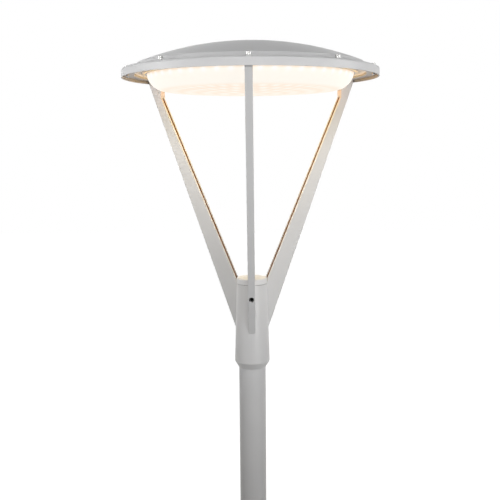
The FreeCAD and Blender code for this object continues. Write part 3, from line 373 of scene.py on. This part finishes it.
def makeOpalAcrylic():
    material, tree, output, place = newMaterial("lit_opal_acrylic")
    marks = {name: addNode(tree, "ShaderNodeAttribute", {"attribute_name": name}).outputs["Fac"]
             for name in ("spark", "band", "petal", "floor")}
    rosette = addNode(tree, "ShaderNodeMix", {"data_type": "RGBA"},
                      {"A": hexColor(opal["hollow"]), "B": hexColor(opal["petal"])},
                      {"Factor": marks["petal"]})
    under = addNode(tree, "ShaderNodeMix", {"data_type": "RGBA"}, {"A": hexColor(opal["side"])},
                    {"Factor": marks["floor"], "B": rosette.outputs["Result"]})
    edge = addNode(tree, "ShaderNodeMix", {"data_type": "RGBA"}, {"B": hexColor(opal["cream"])},
                   {"Factor": marks["band"], "A": under.outputs["Result"]})
    glow = addNode(tree, "ShaderNodeMix", {"data_type": "RGBA"}, {"B": hexColor(opal["light"])},
                   {"Factor": marks["spark"], "A": edge.outputs["Result"]})
    cloud = addNode(tree, "ShaderNodeTexNoise", {}, {"Scale": perMetre(opal["cloudMm"]), "Detail": 2},
                    {"Vector": place})
    strength = addNode(tree, "ShaderNodeMapRange", {},
                       {"To Min": opal["glow"] - opal["cloud"] / 2,
                        "To Max": opal["glow"] + opal["cloud"] / 2},
                       {"Value": cloud.outputs["Fac"]})
    skin = addNode(tree, "ShaderNodeBsdfPrincipled", {},
                   {"Base Color": hexColor(opal["body"]), "Roughness": opal["roughness"],
                    "Specular IOR Level": opal["specular"]},
                   {"Emission Color": glow.outputs["Result"],
                    "Emission Strength": strength.outputs["Result"]})
    tree.links.new(skin.outputs["BSDF"], output.inputs["Surface"])
    return material


lensBowl = makeLensBowl()
lensBowl.data.materials.append(makeOpalAcrylic())
print("lens bowl:", len(lensBowl.data.polygons), "faces")

# cap screws of the canopy: fluted heads with hexagon sockets, on threads drawn a little coarser than real
screw = {"count": 9, "circle": 0.2625, "turn": -90, "headRadius": 0.005, "headHeight": 0.006,
         "chamfer": 0.0005, "rounding": 0.3, "bevel": 0.0004, "lowBand": 0.0008, "topBand": 0.0011,
         "flutes": 36, "fluteDepth": 0.00006, "fluteRunOut": 0.0003, "socket": 0.005, "socketDepth": 0.003,
         "socketLip": 0.0003, "drillHalf": 0.0004, "drillTip": 0.0006, "threadRadius": 0.003,
         "threadDepth": 0.0004, "threadPitch": 0.0015, "threadRows": 47, "threadEnd": 0.0005,
         "neck": 0.0003, "length": 0.018, "sharpDegrees": 35}


def makeCapScrews():
    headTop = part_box("canopy_screws")[1][2]
    seat = headTop - screw["headHeight"]
    columns = screw["flutes"] * 2
    angle = np.linspace(0, 2 * np.pi, columns, endpoint=False)[None, :]
    # thread: the radius falls and rises with the fraction of a turn left over from height / pitch - angle
    threadZ = np.linspace(-screw["length"], -screw["threadEnd"], screw["threadRows"])[:, None]
    turnLeft = np.mod(threadZ / screw["threadPitch"] - angle / (2 * np.pi), 1)
    thread = screw["threadRadius"] - screw["threadDepth"] * np.abs(2 * turnLeft - 1)
    # head: flutes are every second column set in;
    # the socket is a hexagon, half its width / cos of the angle from the middle of a flat
    flute = screw["headRadius"] - screw["fluteDepth"] * (np.arange(columns) % 2)[None, :]
    plain = np.full((1, columns), screw["headRadius"])
    hexagon = screw["socket"] / 2 / np.cos(np.mod(angle, np.pi / 3) - np.pi / 6)
    core = np.full((1, columns), screw["threadRadius"] - screw["threadDepth"])
    top, chamfer, bevel, lip = screw["headHeight"], screw["chamfer"], screw["bevel"], screw["socketLip"]
    rounded = screw["rounding"] * chamfer
    fluteLow, fluteTop, runOut = screw["lowBand"], top - screw["topBand"], screw["fluteRunOut"]
    socketFloor = top - screw["socketDepth"]
    # from the neck up the outside, over the chamfer and down into the socket
    rings = [(core, -screw["neck"]), (core, 0.0), (plain - bevel, 0.0), (plain, bevel), (plain, fluteLow),
             (flute, fluteLow + runOut), (flute, fluteTop - runOut), (plain, fluteTop),
             (plain, top - chamfer), (plain - rounded, top - rounded), (plain - chamfer, top),
             (hexagon + lip, top), (hexagon, top - lip), (hexagon, socketFloor),
             (hexagon / 2, socketFloor - screw["drillHalf"])]
    radius = np.vstack([thread] + [ring for ring, level in rings])
    height = np.concatenate([threadZ[:, 0], [level for ring, level in rings]])[:, None]
    height = np.broadcast_to(height, radius.shape)
    points = np.stack([radius * np.cos(angle), radius * np.sin(angle), height], axis=-1)
    vertices, faces = roundGrid(points, (0, 0, -screw["length"]),
                                (0, 0, socketFloor - screw["drillTip"]))
    # the same screw stands at each place round the canopy, turned with it
    turns = np.radians(screw["turn"] + 360 / screw["count"] * np.arange(screw["count"]))[:, None]
    x, y, z = vertices.T
    out = screw["circle"] + x[None, :]
    ringX = out * np.cos(turns) - y[None, :] * np.sin(turns)
    ringY = out * np.sin(turns) + y[None, :] * np.cos(turns)
    ringZ = np.broadcast_to(z + seat, ringX.shape)
    every = np.stack([ringX, ringY, ringZ], axis=-1).reshape(-1, 3)
    everyFace = [[corner + number * len(vertices) for corner in face]
                 for number in range(screw["count"]) for face in faces]
    piece = makePiece("capScrews", every, everyFace, screw["sharpDegrees"])
    piece.data.materials.append(stainlessSkin)
    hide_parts("canopy_screws")
    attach(piece, "canopy")
    return piece


capScrews = makeCapScrews()
print("cap screws:", len(capScrews.data.polygons), "faces")

# pale floor that reads white, darker to the light that it sends back up; its glow rises from near to far,
# so that it meets the background without a line
studio = {"floorSize": 12.0, "floor": "#a4a4a4", "nearGlow": 0.95, "farGlow": 1.0, "near": 0.8, "far": 2.5,
          "ambient": 0.05}


def seenRays(tree):
    # 1 for what the camera sees, straight or by reflection or through glass
    path = addNode(tree, "ShaderNodeLightPath")
    first = addNode(tree, "ShaderNodeMath", {"operation": "MAXIMUM"}, {},
                    {0: path.outputs["Is Camera Ray"], 1: path.outputs["Is Glossy Ray"]})
    both = addNode(tree, "ShaderNodeMath", {"operation": "MAXIMUM"}, {},
                   {0: first.outputs[0], 1: path.outputs["Is Transmission Ray"]})
    return both.outputs[0]


def makeFloor():
    half = studio["floorSize"] / 2
    mesh = bpy.data.meshes.new("floor")
    corners = [(-half, -half, 0), (half, -half, 0), (half, half, 0), (-half, half, 0)]
    mesh.from_pydata(corners, [], [(0, 1, 2, 3)])
    floor = bpy.data.objects.new("floor", mesh)
    scene.collection.objects.link(floor)
    material, tree, output, place = newMaterial("white_studio_floor")
    away = addNode(tree, "ShaderNodeVectorMath", {"operation": "LENGTH"}, {}, {0: place})
    rise = addNode(tree, "ShaderNodeMapRange", {},
                   {"From Min": studio["near"], "From Max": studio["far"], "To Min": studio["nearGlow"],
                    "To Max": studio["farGlow"]}, {"Value": away.outputs["Value"]})
    level = addNode(tree, "ShaderNodeMath", {"operation": "MULTIPLY"}, {},
                    {0: seenRays(tree), 1: rise.outputs["Result"]})
    glow = addNode(tree, "ShaderNodeEmission", {}, {}, {"Strength": level.outputs[0]})
    paper = addNode(tree, "ShaderNodeBsdfDiffuse", {}, {"Color": hexColor(studio["floor"])})
    both = addNode(tree, "ShaderNodeAddShader", {}, {}, {0: glow.outputs[0], 1: paper.outputs[0]})
    # clear from underneath, so that the object can be looked at from below
    clear = addNode(tree, "ShaderNodeBsdfTransparent")
    side = addNode(tree, "ShaderNodeNewGeometry").outputs["Backfacing"]
    sheet = addNode(tree, "ShaderNodeMixShader", {}, {}, {0: side, 1: both.outputs[0], 2: clear.outputs[0]})
    tree.links.new(sheet.outputs[0], output.inputs["Surface"])
    mesh.materials.append(material)


def makeWorld():
    world = bpy.data.worlds.new("studio")
    scene.world = world
    world.use_nodes = True
    tree = world.node_tree
    tree.nodes.clear()
    level = addNode(tree, "ShaderNodeMapRange", {}, {"To Min": studio["ambient"], "To Max": 1.0},
                    {"Value": seenRays(tree)})
    sky = addNode(tree, "ShaderNodeBackground", {}, {"Color": (1, 1, 1, 1)},
                  {"Strength": level.outputs["Result"]})
    addNode(tree, "ShaderNodeOutputWorld", {}, {}, {"Surface": sky.outputs[0]})


makeFloor()
makeWorld()

# softboxes: place, aim, width, height, spread in degrees, watts, colour
lamps = {
    "front": ((0, -1.6, 1.45), (0, 0, 0.8), 0.6, 0.3, 80, 2.5, "#ffffff"),
    "midLeft": ((-0.9, -1.2, 0.75), (0, 0, 0.8), 0.5, 0.52, 80, 0.6, "#ffffff"),
    "sideLeft": ((-1.4, -0.3, 1.0), (0, 0, 0.95), 0.6, 0.62, 80, 2.1, "#ffffff"),
    "sideRight": ((1.4, -0.3, 1.0), (0, 0, 0.95), 0.6, 0.62, 80, 1.7, "#ffffff"),
    "highLeft": ((-1.3, -0.4, 1.4), (0, 0, 0.9), 0.6, 0.62, 80, 0.5, "#ffffff"),
    "lowRight": ((0.9, -1.4, 0.55), (0, 0, 0.55), 0.5, 0.52, 80, 2.4, "#ffffff"),
    "back": ((0, 1.8, 1.3), (0, 0, 0.9), 1.4, 1.2, 180, 5.0, "#ffffff"),
    "backLeft": ((-1.25, 1.25, 0.6), (0, 0, 0.65), 0.6, 0.62, 80, 1.1, "#ffffff"),
    "backRight": ((1.25, 1.25, 0.6), (0, 0, 0.65), 0.6, 0.62, 80, 1.1, "#ffffff"),
    "lensDown": ((0, 0, 0.9425), (0, 0.0001, 0), 0.34, 0.34, 180, 0.6, "#ffd455"),
}
# warm light that leaves the round edge of the lens, as rows of flat panels, and its spill outside it:
# radius, height, panel height, degrees below level, watts of each panel, colour
lensRows = [(0.2245, 0.979, 0.010, 0, 0.0044, "#ffbf00"), (0.2135, 0.9605, 0.014, 45, 0.0078, "#ffa400"),
            (0.1949, 0.9514, 0.019, 75, 0.0060, "#ffde00"), (0.2455, 0.9862, 0.003, 180, 0.0024, "#ffd8ac")]
lensPanels = 24


def makeLamp(name, place, aim, width, height, spread, watts, color):
    data = bpy.data.lights.new(name, "AREA")
    data.shape = "ELLIPSE" if width == height else "RECTANGLE"
    data.size = width
    data.size_y = height
    data.spread = math.radians(spread)
    data.energy = watts
    data.color = hexColor(color)[:3]
    lamp = bpy.data.objects.new(name, data)
    lamp.location = place
    lamp.rotation_euler = (Vector(aim) - Vector(place)).to_track_quat("-Z", "Y").to_euler()
    lamp.visible_camera = False
    scene.collection.objects.link(lamp)


for name, values in lamps.items():
    makeLamp(name, *values)
for row, (radius, height, tall, below, watts, color) in enumerate(lensRows):
    for number in range(lensPanels):
        turn, tilt = 2 * math.pi * number / lensPanels, math.radians(below)
        outward = Vector((math.cos(turn), math.sin(turn), 0))
        place = outward * radius + Vector((0, 0, height))
        aim = place + outward * math.cos(tilt) - Vector((0, 0, math.sin(tilt)))
        width = 2 * radius * math.tan(math.pi / lensPanels)
        makeLamp("lensRow%dPanel%d" % (row, number), place, aim, width, tall, 180, watts, color)
print("floor, world and lamps done")

# camera at the photograph's place: focal length and frame in the picture's own pixels
view = {"focalPixels": 787, "framePixels": 500, "sensorMm": 36, "place": (0.0192, -1.733, 0.830),
        "yaw": 0.75, "pitch": 7.41, "roll": -0.44}


def makeCamera():
    data = bpy.data.cameras.new("camera")
    data.sensor_width = view["sensorMm"]
    data.lens = view["focalPixels"] / view["framePixels"] * data.sensor_width
    camera = bpy.data.objects.new("camera", data)
    yaw = Matrix.Rotation(math.radians(view["yaw"]), 4, "Z")
    pitch = Matrix.Rotation(math.radians(90 - view["pitch"]), 4, "X")
    roll = Matrix.Rotation(math.radians(view["roll"]), 4, "Z")
    camera.matrix_world = Matrix.Translation(view["place"]) @ yaw @ pitch @ roll
    scene.collection.objects.link(camera)
    scene.camera = camera


makeCamera()
scene.view_settings.view_transform = "Standard"

print("scene ready")
